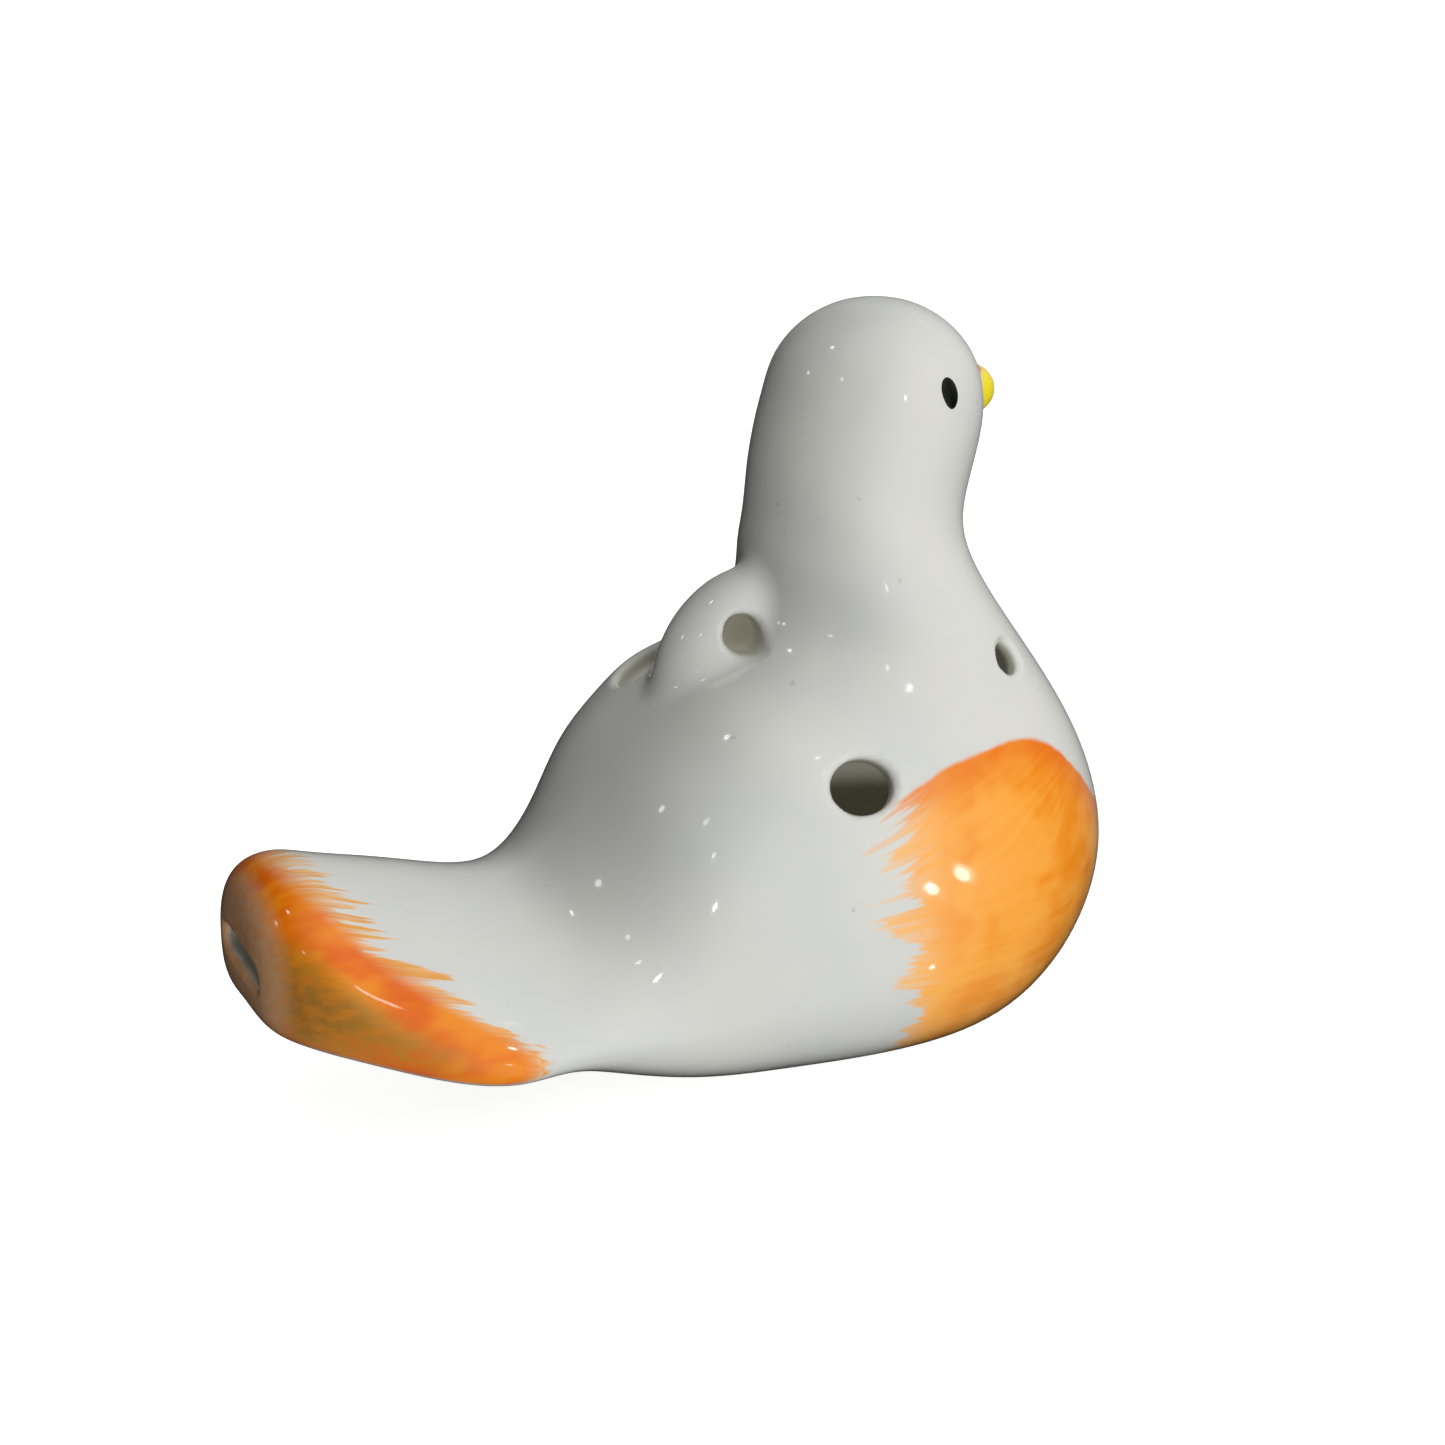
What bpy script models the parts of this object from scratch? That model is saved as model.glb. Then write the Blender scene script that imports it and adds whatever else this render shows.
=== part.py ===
"""Bird ocarina: a hollow, glazed ceramic vessel flute in the form of a sitting pigeon.

The bird faces +X, its right side is towards -Y, and it stands on the flat foot of its belly
at z = 0. The player blows into the slot in the tail. The air runs down the windway to the
labium, whose edge splits it at the window under the tail, and the hollow body behind the
labium sounds. Five finger holes and a lanyard lug are cut through the body.
"""
import math

import bmesh
import bpy
import numpy as np
from mathutils import Matrix, Vector

MM = 0.001  # every size below is in millimetres

NAME = "bird_ocarina"
WALL = 3.5  # thickness of the cast ceramic
GAP = 0.3  # clearance between neighbouring pieces
FOOT_WALL = 3.2  # thickness of the floor above the flat foot
RINGS_PER_SECTION = 3
SIDES = 36

# The body's sections, from the flat end of the tail to the neck. Each one spans the mid-plane
# between a point of the back and a point of the belly:
# back x, back z, belly x, belly z, height of the widest line as a share of the span,
# half width, droop of the sides, fullness of the back, fullness of the belly.
SECTIONS = (
    (-61.2, 29.1, -61.2, 20.7, 0.50, 6.5, 0.6, 2.4, 2.5),
    (-60.7, 32.0, -60.8, 18.2, 0.51, 10.4, 1.5, 2.5, 2.7),
    (-59.3, 34.1, -59.5, 16.8, 0.52, 13.8, 2.3, 2.6, 2.9),
    (-56.9, 35.5, -57.1, 16.1, 0.53, 16.7, 3.2, 2.5, 3.0),
    (-53.5, 35.8, -53.7, 15.8, 0.52, 19.1, 4.3, 2.4, 3.1),
    (-49.1, 34.9, -49.1, 15.6, 0.50, 21.5, 5.8, 2.1, 3.0),
    (-41.1, 33.0, -41.1, 14.0, 0.47, 24.8, 6.9, 2.0, 2.7),
    (-33.6, 31.2, -33.1, 11.8, 0.42, 26.2, 6.0, 1.8, 2.4),
    (-27.1, 30.3, -25.8, 8.6, 0.40, 25.9, 3.1, 1.7, 2.1),
    (-21.6, 32.1, -16.8, 4.1, 0.39, 25.8, 0.6, 1.75, 2.0),
    (-16.6, 37.7, -4.3, 0.3, 0.38, 26.5, 0.0, 2.2, 2.0),
    (-11.6, 43.8, 9.9, -1.0, 0.39, 28.6, 0.0, 2.9, 2.0),
    (-6.6, 49.0, 25.9, -0.7, 0.40, 30.0, 0.0, 3.1, 2.2),
    (-1.4, 53.3, 41.7, 2.0, 0.43, 30.2, 0.0, 3.1, 2.3),
    (3.9, 56.3, 53.7, 10.6, 0.47, 29.0, 0.0, 2.7, 2.3),
    (8.1, 60.2, 59.9, 23.3, 0.50, 26.6, 0.0, 2.2, 2.2),
    (9.8, 65.0, 58.3, 37.0, 0.50, 23.3, 0.0, 2.0, 2.1),
    (10.1, 69.6, 52.2, 49.0, 0.50, 20.6, 0.0, 2.0, 2.0),
    (10.6, 73.4, 45.3, 59.0, 0.50, 18.1, 0.0, 2.0, 2.0),
    (10.9, 77.0, 40.2, 68.0, 0.50, 16.1, 0.0, 2.0, 2.0),
    (11.2, 81.0, 39.9, 75.0, 0.50, 15.1, 0.0, 2.0, 2.0),
    (12.0, 85.5, 41.9, 82.5, 0.50, 14.8, 0.0, 2.0, 2.0),
    (13.0, 89.3, 42.5, 88.7, 0.50, 14.3, 0.0, 2.0, 2.0),
)
# The crown of the head closes the body as a half ellipsoid.
HEAD_X, HEAD_Z = 27.8, 88.0
HEAD_LENGTH, HEAD_WIDTH, HEAD_HEIGHT = 14.7, 14.2, 13.4
HEAD_ANGLES = (24, 42, 58, 74, 90)

CHAMBER_START = 7.0  # the section, counted from the tail, where the hollow begins
SEAM_X = -21.3  # the tail joins the two body shells here

# The finger holes: a point on the skin, the way out of the body, and the width and height.
FINGER_HOLES = {
    "right_flank": ((12.9, -27.0, 44.2), (-0.12, -0.95, 0.28), (8.5, 7.2)),
    "left_flank": ((12.9, 27.0, 44.2), (-0.12, 0.95, 0.28), (8.5, 7.2)),
    "right_chest": ((37.9, -18.0, 55.3), (0.55, -0.68, 0.49), (4.8, 4.4)),
    "left_chest": ((37.9, 18.0, 55.3), (0.55, 0.68, 0.49), (4.8, 4.4)),
    "thumb": ((-1.6, 11.6, 52.0), (-0.62, 0.40, 0.68), (8.0, 7.4)),
}
HOLE_SIDES = 24

# The voicing, all on the mid-plane.
SLOT_Z = 25.2
SLOT_WIDTH, SLOT_HEIGHT = 16.2, 2.8
SLOT_ROLL = 5.0  # degrees; the slot is cut a little askew, lower on the right
WINDWAY_END_WIDTH, WINDWAY_END_HEIGHT = 12.0, 2.0
WINDOW_BACK_X, WINDOW_FRONT_X = -32.5, -27.5
WINDWAY_END_Z = 14.6
WINDOW_WIDTH = 13.0
WINDOW_TOP_Z = 17.0
LABIUM_EDGE_Z = 11.4
LABIUM_SLOPE = 46.0  # degrees below the horizontal

# The lanyard lug: a rounded loop at the nape with a hole across it.
LUG_CENTRE = (5.0, 0.0, 57.8)
LUG_HALF_SIZE = (10.8, 6.3, 6.2)
LUG_TILT = -48.6
LUG_HOLE_X, LUG_HOLE_Z = 6.2, 59.5
LUG_HOLE_DIAMETER = 5.0
LUG_HOLE_LENGTH = 26.0  # it grooves the skin a little on both sides of the lug

BEAK_CENTRE = (41.7, 0.0, 88.2)
BEAK_HALF_SIZE = (4.4, 2.8, 3.6)
BEAK_TILT = 6.0
EYE_POINT = (31.9, 13.5, 90.5)
EYE_WAY_OUT = (0.28, 0.93, 0.20)
EYE_HALF_SIZE = (1.4, 0.9, 2.15)


def natural_spline(rows, t):
    """Rows of numbers read at t as smooth natural cubic curves through them all."""
    count = len(rows)
    matrix = np.eye(count) * 4 + np.eye(count, k=1) + np.eye(count, k=-1)
    matrix[0, 0] = matrix[-1, -1] = 2
    right = np.zeros_like(rows)
    right[1:-1] = 3 * (rows[2:] - rows[:-2])
    right[0] = 3 * (rows[1] - rows[0])
    right[-1] = 3 * (rows[-1] - rows[-2])
    slope = np.linalg.solve(matrix, right)
    i = np.clip(t.astype(int), 0, count - 2)
    u = (t - i)[:, None]
    start, end, leave, arrive = rows[i], rows[i + 1], slope[i], slope[i + 1]
    return (
        start
        + leave * u
        + (3 * (end - start) - 2 * leave - arrive) * u**2
        + (2 * (start - end) + leave + arrive) * u**3
    )


def all_sections(grow):
    """The sections of the body and of the head's crown, each one enlarged by grow all round."""
    rows = []
    for back_x, back_z, belly_x, belly_z, widest, half_width, *rest in SECTIONS:
        span = Vector((back_x - belly_x, back_z - belly_z))
        step = grow * (span.normalized() if span.length > 0 else Vector((0.0, 1.0)))
        back, belly = (back_x + step.x, back_z + step.y), (belly_x - step.x, belly_z - step.y)
        rows.append((*back, *belly, widest, half_width + grow, *rest))
    for angle in HEAD_ANGLES:
        rise, reach = math.sin(math.radians(angle)), math.cos(math.radians(angle))
        length, width = (HEAD_LENGTH + grow) * reach, (HEAD_WIDTH + grow) * reach
        z = HEAD_Z + (HEAD_HEIGHT + grow) * rise
        rows.append((HEAD_X - length, z, HEAD_X + length, z, 0.5, width, 0.0, 2.0, 2.0))
    return np.array(rows)


def skin_grid(grow, floor, start):
    """Points of the body's skin, moved out by grow and kept above the floor, ring by ring."""
    sections = all_sections(grow)
    last = len(sections) - 1
    rings = round((last - start) * RINGS_PER_SECTION) + 1
    read = natural_spline(sections, np.linspace(start, last, rings))
    back_x, back_z, belly_x, belly_z, widest, half_width, droop, full_back, full_belly = (
        read.T[:, :, None]
    )
    angle = np.linspace(0, 2 * math.pi, SIDES, endpoint=False)[None, :]
    side, up = np.cos(angle), np.sin(angle)
    power = np.where(up >= 0, 2 / full_back, 2 / full_belly)
    side = np.sign(side) * np.abs(side) ** power
    up = np.sign(up) * np.abs(up) ** power
    share = widest + np.where(up >= 0, up * (1 - widest), up * widest)
    x = belly_x + share * (back_x - belly_x)
    y = half_width * side
    z = belly_z + share * (back_z - belly_z) - droop * side**2
    return np.stack((x, y, np.maximum(z, floor)), axis=2) * MM


def finish_mesh(bm, name, collection):
    """A smooth-shaded object made from the bmesh."""
    mesh = bpy.data.meshes.new(name)
    bm.to_mesh(mesh)
    bm.free()
    mesh.shade_smooth()
    mesh.set_sharp_from_angle(angle=math.radians(35))
    piece = bpy.data.objects.new(name, mesh)
    collection.objects.link(piece)
    return piece


def skin(name, collection, grow=0.0, floor=0.0, start=0.0):
    """The closed skin of the body, lofted through its sections."""
    grid = skin_grid(grow, floor, start)
    bm = bmesh.new()
    rings = [[bm.verts.new(point) for point in ring] for ring in grid]
    for lower, upper in zip(rings, rings[1:]):
        for j in range(SIDES):
            k = (j + 1) % SIDES
            bm.faces.new((lower[j], lower[k], upper[k], upper[j]))
    bmesh.ops.remove_doubles(bm, verts=bm.verts, dist=0.01 * MM)
    ends = bmesh.ops.holes_fill(bm, edges=[edge for edge in bm.edges if edge.is_boundary])
    bmesh.ops.triangulate(bm, faces=ends["faces"])
    bmesh.ops.recalc_face_normals(bm, faces=bm.faces)
    return finish_mesh(bm, name, collection)


def block(name, collection, low, high):
    """A box between two corners."""
    low, high = Vector(low) * MM, Vector(high) * MM
    bm = bmesh.new()
    place = Matrix.Translation((low + high) / 2) @ Matrix.Diagonal((high - low).to_4d())
    bmesh.ops.create_cube(bm, size=1.0, matrix=place)
    return finish_mesh(bm, name, collection)


def rod(name, collection, centre, way, length, width, height):
    """A round or oval bar centred on a point and lying along a direction."""
    turn = Vector(way).to_track_quat("Z", "Y").to_matrix().to_4x4()
    size = Matrix.Diagonal((width * MM, height * MM, length * MM, 1.0))
    bm = bmesh.new()
    bmesh.ops.create_cone(
        bm,
        cap_ends=True,
        segments=HOLE_SIDES,
        radius1=0.5,
        radius2=0.5,
        depth=1.0,
        matrix=Matrix.Translation(Vector(centre) * MM) @ turn @ size,
    )
    return finish_mesh(bm, name, collection)


def ball(name, collection, half_size, segments, rings):
    """An ellipsoid about its own origin."""
    bm = bmesh.new()
    size = Vector(half_size) * MM
    bmesh.ops.create_uvsphere(
        bm, u_segments=segments, v_segments=rings, radius=1.0, matrix=Matrix.Diagonal(size.to_4d())
    )
    return finish_mesh(bm, name, collection)


def cut(piece, tool, operation="DIFFERENCE"):
    """Adds an exact Boolean to the piece."""
    modifier = piece.modifiers.new(f"{operation.lower()}_{tool.name}", "BOOLEAN")
    modifier.operation = operation
    modifier.solver = "EXACT"
    modifier.object = tool


def glaze(name, colour, roughness):
    """A plain glazed-ceramic material."""
    material = bpy.data.materials.new(name)
    material.use_nodes = True
    shader = material.node_tree.nodes["Principled BSDF"]
    shader.inputs["Base Color"].default_value = (*colour, 1.0)
    shader.inputs["Roughness"].default_value = roughness
    shader.inputs["Metallic"].default_value = 0.0
    material.diffuse_color = (*colour, 1.0)
    return material


def windway(cutters):
    """The flat air channel, narrowing from the slot in the tail down to the window."""
    start = Vector((SECTIONS[0][0] - WALL, 0.0, SLOT_Z))
    roll = Matrix.Rotation(math.radians(SLOT_ROLL), 3, "X")
    end = Vector((WINDOW_BACK_X + 0.5, 0.0, WINDWAY_END_Z))
    channel = block("windway", cutters, (-0.5, -0.5, -0.5), (0.5, 0.5, 0.5))
    for vertex in channel.data.vertices:
        corner = vertex.co / MM
        inner = corner.x > 0
        width = WINDWAY_END_WIDTH if inner else SLOT_WIDTH
        height = WINDWAY_END_HEIGHT if inner else SLOT_HEIGHT
        offset = roll @ Vector((0.0, corner.y * width, corner.z * height))
        vertex.co = ((end if inner else start) + offset) * MM
    return channel


def labium_ramp(cutters):
    """The wedge of air under the labium, whose top face is the ramp."""
    depth = 30.0
    ramp = block("labium_ramp", cutters, (-depth, -WINDOW_WIDTH, -depth), (depth, WINDOW_WIDTH, 0))
    ramp.location = (WINDOW_FRONT_X * MM, 0.0, LABIUM_EDGE_Z * MM)
    ramp.rotation_euler = (0.0, math.radians(LABIUM_SLOPE), 0.0)
    return ramp


def finger_hole_rods(cutters):
    """One cutter for each finger hole, long enough to pass through the wall only."""
    return [
        rod(f"{name}_hole", cutters, place, way, 6 * WALL, *size)
        for name, (place, way, size) in FINGER_HOLES.items()
    ]


def body_shell(name, region, chamber, holes, collection, material):
    """One half of the hollow body, from the seam at the tail up to the head."""
    shell = skin(name, collection)
    shell.data.materials.append(material)
    cut(shell, region, "INTERSECT")
    cut(shell, chamber)
    for hole in holes:
        cut(shell, hole)
    return shell


def tail_mouthpiece(region, chamber, channel, window, collection, material):
    """The tail with the slot, the windway and the window."""
    tail = skin("tail_mouthpiece", collection)
    tail.data.materials.append(material)
    cut(tail, window)
    cut(tail, chamber)
    cut(tail, channel)
    cut(tail, region, "INTERSECT")
    return tail


def labium(chamber, region, ramp, collection, material):
    """The sharp-edged ramp at the front of the window."""
    edge = skin("labium", collection)
    edge.data.materials.append(material)
    cut(edge, region, "INTERSECT")
    cut(edge, chamber)
    cut(edge, ramp)
    return edge


def lanyard_lug(body, hole, collection, material):
    """The rounded loop at the nape that a lanyard passes through."""
    lug = ball("lanyard_lug", collection, LUG_HALF_SIZE, 32, 20)
    lug.data.materials.append(material)
    lug.location = Vector(LUG_CENTRE) * MM
    lug.rotation_euler = (0.0, math.radians(LUG_TILT), 0.0)
    cut(lug, body)
    cut(lug, hole)
    return lug


def beak(body, collection, material):
    """The short, blunt beak."""
    tip = ball("beak", collection, BEAK_HALF_SIZE, 20, 14)
    tip.data.materials.append(material)
    tip.location = Vector(BEAK_CENTRE) * MM
    tip.rotation_euler = (0.0, math.radians(BEAK_TILT), 0.0)
    cut(tip, body)
    return tip


def eye(name, side, body, collection, material):
    """A low oval drop of black enamel on one side of the head."""
    drop = ball(name, collection, EYE_HALF_SIZE, 20, 12)
    drop.data.materials.append(material)
    x, y, z = EYE_POINT
    drop.location = Vector((x, side * y, z)) * MM
    way = Vector((EYE_WAY_OUT[0], side * EYE_WAY_OUT[1], EYE_WAY_OUT[2]))
    drop.rotation_mode = "QUATERNION"
    drop.rotation_quaternion = way.to_track_quat("Y", "Z")
    cut(drop, body)
    return drop


def cutter_collection(scene):
    """A collection for the cutters."""
    cutters = bpy.data.collections.new("cutters")
    scene.children.link(cutters)
    return cutters


def hide_cutters(cutters):
    """Shows the cutters as wires and leaves them out of renders."""
    for tool in cutters.objects:
        tool.hide_render = True
        tool.display_type = "WIRE"


def main():
    for old in list(bpy.data.objects):
        bpy.data.objects.remove(old, do_unlink=True)
    scene = bpy.context.scene.collection
    pieces = bpy.data.collections.new(NAME)
    scene.children.link(pieces)
    cutters = cutter_collection(scene)

    white = glaze("white_glaze", (0.80, 0.81, 0.78), 0.12)
    tail_orange = glaze("tail_orange_glaze", (0.78, 0.24, 0.03), 0.12)
    bare = glaze("bare_ceramic", (0.74, 0.72, 0.66), 0.55)
    yellow = glaze("beak_yellow_glaze", (0.82, 0.66, 0.05), 0.15)
    black = glaze("eye_black_enamel", (0.01, 0.01, 0.012), 0.1)

    chamber = skin("chamber", cutters, -WALL, FOOT_WALL, CHAMBER_START)
    clear_of_body = skin("clear_of_body", cutters, GAP, -GAP)
    half_gap = GAP / 2
    reach = 90.0
    right_half = block(
        "right_half", cutters, (SEAM_X + half_gap, -reach, -reach), (reach, -half_gap, 2 * reach)
    )
    left_half = block(
        "left_half", cutters, (SEAM_X + half_gap, half_gap, -reach), (reach, reach, 2 * reach)
    )
    tail_end = block(
        "tail_end", cutters, (-reach, -reach, -reach), (SEAM_X - half_gap, reach, 2 * reach)
    )
    half_window = WINDOW_WIDTH / 2
    window = block(
        "window",
        cutters,
        (WINDOW_BACK_X, -half_window - GAP, -reach),
        (SEAM_X + 1, half_window + GAP, WINDOW_TOP_Z),
    )
    labium_block = block(
        "labium_block",
        cutters,
        (WINDOW_FRONT_X, -half_window, -reach),
        (SEAM_X - half_gap, half_window, WINDOW_TOP_Z),
    )
    lug_hole = rod(
        "lug_hole",
        cutters,
        (LUG_HOLE_X, 0.0, LUG_HOLE_Z),
        (0, 1, 0),
        LUG_HOLE_LENGTH,
        LUG_HOLE_DIAMETER,
        LUG_HOLE_DIAMETER,
    )
    holes = [*finger_hole_rods(cutters), lug_hole]
    channel = windway(cutters)
    ramp = labium_ramp(cutters)

    body_shell("right_shell", right_half, chamber, holes, pieces, white)
    body_shell("left_shell", left_half, chamber, holes, pieces, white)
    tail_mouthpiece(tail_end, chamber, channel, window, pieces, tail_orange)
    labium(chamber, labium_block, ramp, pieces, bare)
    lanyard_lug(clear_of_body, lug_hole, pieces, white)
    beak(clear_of_body, pieces, yellow)
    eye("eye_right", -1, clear_of_body, pieces, black)
    eye("eye_left", 1, clear_of_body, pieces, black)
    hide_cutters(cutters)


main()
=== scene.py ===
"""Looks of the bird ocarina: one seamless glazed body, brushed with orange, cut into its parts.

The body is lofted again from the same sections as the CAD, only much finer. The lanyard lug
grows smoothly out of it, the rims of all holes are rounded as under a glaze, and the result is
split along the CAD's seams, so that every part stays a closed piece of its own.
"""
import math

import bmesh
import bpy
import numpy as np
from mathutils import Matrix, Vector
from mathutils.bvhtree import BVHTree
from mathutils.kdtree import KDTree


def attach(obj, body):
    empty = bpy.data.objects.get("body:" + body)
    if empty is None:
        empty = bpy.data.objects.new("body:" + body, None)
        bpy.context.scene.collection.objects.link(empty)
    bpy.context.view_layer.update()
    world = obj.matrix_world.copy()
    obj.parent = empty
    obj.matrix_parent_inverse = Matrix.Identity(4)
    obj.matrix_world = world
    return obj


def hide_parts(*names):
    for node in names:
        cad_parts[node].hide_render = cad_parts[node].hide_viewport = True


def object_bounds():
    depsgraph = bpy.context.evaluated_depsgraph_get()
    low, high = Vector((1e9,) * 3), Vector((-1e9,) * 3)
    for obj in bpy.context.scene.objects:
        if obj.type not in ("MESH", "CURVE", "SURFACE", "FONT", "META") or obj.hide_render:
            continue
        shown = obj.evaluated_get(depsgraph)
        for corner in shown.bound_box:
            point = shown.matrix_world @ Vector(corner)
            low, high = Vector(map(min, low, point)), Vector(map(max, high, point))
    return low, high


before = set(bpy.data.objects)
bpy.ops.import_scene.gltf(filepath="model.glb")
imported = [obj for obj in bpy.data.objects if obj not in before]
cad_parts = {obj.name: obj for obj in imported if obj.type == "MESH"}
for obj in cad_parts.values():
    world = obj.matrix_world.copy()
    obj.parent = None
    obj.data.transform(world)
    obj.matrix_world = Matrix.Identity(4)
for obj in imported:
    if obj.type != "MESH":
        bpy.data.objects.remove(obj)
cad_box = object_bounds()

MM = 0.001  # shapes are made in millimetres and scaled when they are finished

WALL = 3.5
FOOT_WALL = 3.2
INSET = -0.05  # the skin lies this far inside the CAD's, to stay in its box
# Across the body: x and z of its back, x and z of its belly, where between the two it is widest,
# half its width, the droop of its sides, and how full its upper and its lower half are.
SECTIONS = (
    (-61.2, 29.1, -61.2, 20.7, 0.50, 6.5, 0.6, 2.4, 2.5),
    (-60.7, 32.0, -60.8, 18.2, 0.51, 10.4, 1.5, 2.5, 2.7),
    (-59.3, 34.1, -59.5, 16.8, 0.52, 13.8, 2.3, 2.6, 2.9),
    (-56.9, 35.5, -57.1, 16.1, 0.53, 16.7, 3.2, 2.5, 3.0),
    (-53.5, 35.8, -53.7, 15.8, 0.52, 19.1, 4.3, 2.4, 3.1),
    (-49.1, 34.9, -49.1, 15.6, 0.50, 21.5, 5.8, 2.1, 3.0),
    (-41.1, 33.0, -41.1, 14.0, 0.47, 24.8, 6.9, 2.0, 2.7),
    (-33.6, 31.2, -33.1, 11.8, 0.42, 26.2, 6.0, 1.8, 2.4),
    (-27.1, 30.3, -25.8, 8.6, 0.40, 25.9, 3.1, 1.7, 2.1),
    (-21.6, 32.1, -16.8, 4.1, 0.39, 25.8, 0.6, 1.75, 2.0),
    (-16.6, 37.7, -4.3, 0.3, 0.38, 26.5, 0.0, 2.2, 2.0),
    (-11.6, 43.8, 9.9, -1.0, 0.39, 28.6, 0.0, 2.9, 2.0),
    (-6.6, 49.0, 25.9, -0.7, 0.40, 30.0, 0.0, 3.1, 2.2),
    (-1.4, 53.3, 41.7, 2.0, 0.43, 30.2, 0.0, 3.1, 2.3),
    (3.9, 56.3, 53.7, 10.6, 0.47, 29.0, 0.0, 2.7, 2.3),
    (8.1, 60.2, 59.9, 23.3, 0.50, 26.6, 0.0, 2.2, 2.2),
    (9.8, 65.0, 58.3, 37.0, 0.50, 23.3, 0.0, 2.0, 2.1),
    (10.1, 69.6, 52.2, 49.0, 0.50, 20.6, 0.0, 2.0, 2.0),
    (10.6, 73.4, 45.3, 59.0, 0.50, 18.1, 0.0, 2.0, 2.0),
    (10.9, 77.0, 40.2, 68.0, 0.50, 16.1, 0.0, 2.0, 2.0),
    (11.2, 81.0, 39.9, 75.0, 0.50, 15.1, 0.0, 2.0, 2.0),
    (12.0, 85.5, 41.9, 82.5, 0.50, 14.8, 0.0, 2.0, 2.0),
    (13.0, 89.3, 42.5, 88.7, 0.50, 14.3, 0.0, 2.0, 2.0),
)
HEAD_X, HEAD_Z = 27.8, 88.0
HEAD_LENGTH, HEAD_WIDTH, HEAD_HEIGHT = 14.7, 14.2, 13.4
HEAD_ANGLES = (24, 42, 58, 74, 90)
CHAMBER_START = 7.0
SEAM_X = -21.3

# Each hole's middle, the way out of it, and its width and height.
FINGER_HOLES = (
    ((12.9, -27.0, 44.2), (-0.16, -0.86, 0.48), (8.5, 7.1)),
    ((12.9, 27.0, 44.2), (-0.16, 0.86, 0.48), (8.5, 7.1)),
    ((37.9, -18.0, 55.3), (0.55, -0.68, 0.49), (4.8, 4.4)),
    ((37.9, 18.0, 55.3), (0.55, 0.68, 0.49), (4.8, 4.4)),
    ((-1.6, 11.6, 52.0), (-0.62, 0.40, 0.68), (8.0, 7.4)),
)
SLOT_Z = 25.2
SLOT_WIDTH, SLOT_HEIGHT = 16.2, 2.8
SLOT_ROLL = 5.0
WINDWAY_END_WIDTH, WINDWAY_END_HEIGHT = 12.0, 2.0
WINDOW_BACK_X, WINDOW_FRONT_X = -32.5, -27.5
WINDWAY_END_Z = 14.6
WINDOW_WIDTH = 13.0
WINDOW_TOP_Z = 17.0
LABIUM_EDGE_Z = 11.4
LABIUM_SLOPE = 46.0

LUG_CENTRE = (5.0, 0.0, 57.8)
LUG_HALF_SIZE = (10.8, 6.3, 6.2)
LUG_TILT = -48.6
LUG_HOLE = (6.2, 0.0, 59.5)
LUG_HOLE_DIAMETER = 5.0
LUG_HOLE_LENGTH = 26.0

FINE = (8, 160)  # rings for each section, and sides, of the skin that is seen
COARSE = (5, 96)  # the same for surfaces that only cut
VOXEL = 0.55
RIM_ANGLE = 35  # an edge that turns by more than this is a rim
RIM_REACH = 1.3  # how far from a rim the surface is rounded
RIM_PASSES = 14
FIT_PASSES = 6  # steps that settle points on the surface where body and lumps blend

# What grows out of the body: centre, half size, tilt, reach of the fillet round it.
LUMPS = {
    "lanyard_lug": (LUG_CENTRE, LUG_HALF_SIZE, LUG_TILT, 3.0),
    "beak": ((41.7, 0.0, 88.2), (4.4, 2.8, 3.6), 6.0, 1.0),
}
EYE_POINT = (31.9, 13.5, 90.5)
EYE_WAY_OUT = (0.28, 0.93, 0.20)
EYE_HALF_SIZE = (1.4, 2.15)
EYE_HEIGHT = 0.26
EYE_LEAN = 0.09
EYE_SINK = (0.02, 0.12, 0.30, 0.50)  # how deep the drop's rings lie: all inner ones, then its rim


# ---------------------------------------------------------------- shapes


def natural_spline(rows, t):
    """Rows of numbers read at t as smooth natural cubic curves through them all."""
    count = len(rows)
    matrix = np.eye(count) * 4 + np.eye(count, k=1) + np.eye(count, k=-1)
    matrix[0, 0] = matrix[-1, -1] = 2
    right = np.zeros_like(rows)
    right[1:-1] = 3 * (rows[2:] - rows[:-2])
    right[0] = 3 * (rows[1] - rows[0])
    right[-1] = 3 * (rows[-1] - rows[-2])
    slope = np.linalg.solve(matrix, right)
    i = np.clip(t.astype(int), 0, count - 2)
    u = (t - i)[:, None]
    start, end, leave, arrive = rows[i], rows[i + 1], slope[i], slope[i + 1]
    return (
        start
        + leave * u
        + (3 * (end - start) - 2 * leave - arrive) * u**2
        + (2 * (start - end) + leave + arrive) * u**3
    )


def all_sections(grow):
    """The sections of the body and of the head's crown, each one enlarged by grow all round."""
    rows = []
    for back_x, back_z, belly_x, belly_z, widest, half_width, *rest in SECTIONS:
        span = Vector((back_x - belly_x, back_z - belly_z)).normalized() * grow
        back, belly = (back_x + span.x, back_z + span.y), (belly_x - span.x, belly_z - span.y)
        rows.append((*back, *belly, widest, half_width + grow, *rest))
    for angle in HEAD_ANGLES:
        rise, reach = math.sin(math.radians(angle)), math.cos(math.radians(angle))
        length, width = (HEAD_LENGTH + grow) * reach, (HEAD_WIDTH + grow) * reach
        z = HEAD_Z + (HEAD_HEIGHT + grow) * rise
        rows.append((HEAD_X - length, z, HEAD_X + length, z, 0.5, width, 0.0, 2.0, 2.0))
    return np.array(rows)


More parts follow.
